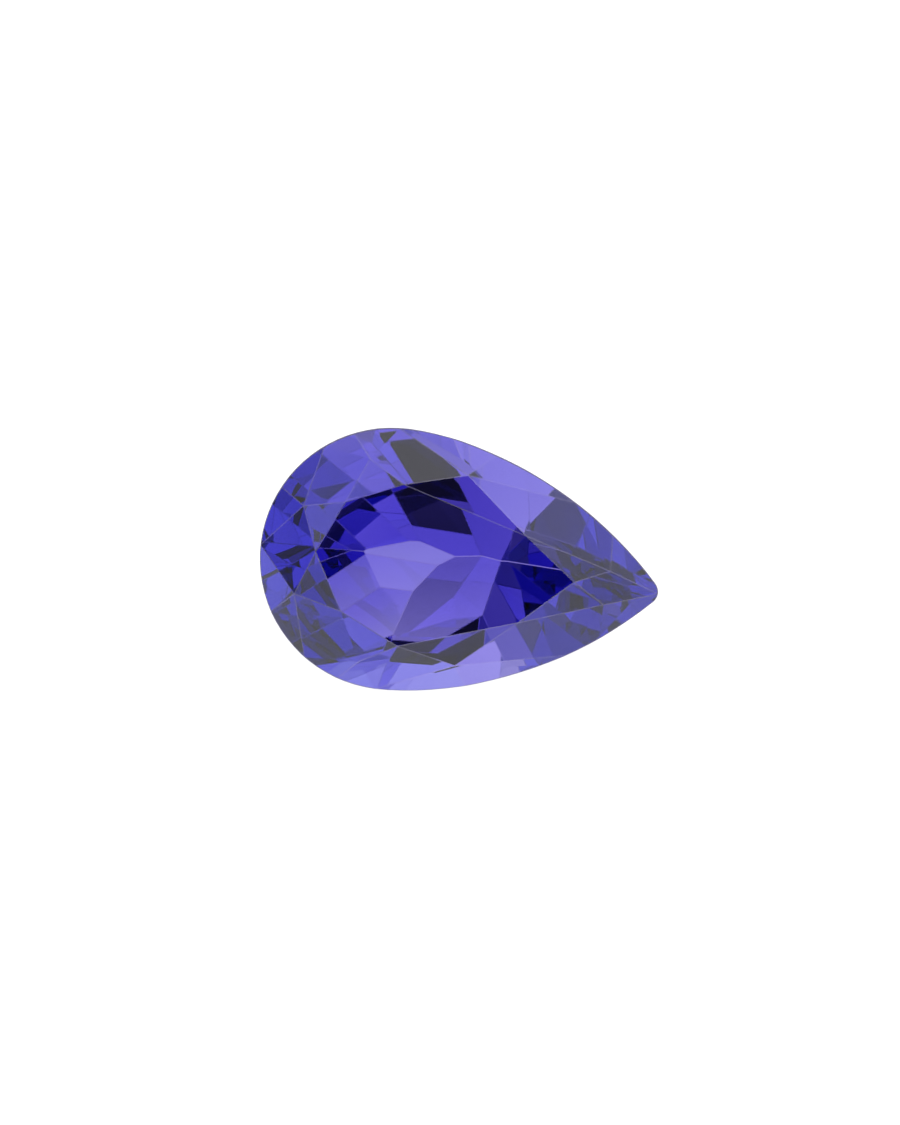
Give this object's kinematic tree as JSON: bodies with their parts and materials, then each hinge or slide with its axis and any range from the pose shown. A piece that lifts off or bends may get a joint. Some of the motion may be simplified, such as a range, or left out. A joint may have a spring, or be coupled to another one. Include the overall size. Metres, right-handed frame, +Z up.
{
  "type": "faceted pear-cut tanzanite gemstone",
  "caption": "Loose cut tanzanite: a pear-shaped brilliant with a flat table, faceted crown and pavilion and a thin girdle, lying on a pavilion facet.",
  "frame": {"origin": "on the surface the stone lies on, under the middle of its bounding box", "axes": "+X along the stone from the round head to the point, +Z up, the table leaning towards -Y and up"},
  "size_m": [0.012, 0.0062, 0.0055],
  "materials": {
    "tanzanite": "clear violet blue crystal with polished flat facets"
  },
  "bodies": {
    "root": {"stone": "tanzanite"}
  },
  "joints": []
}
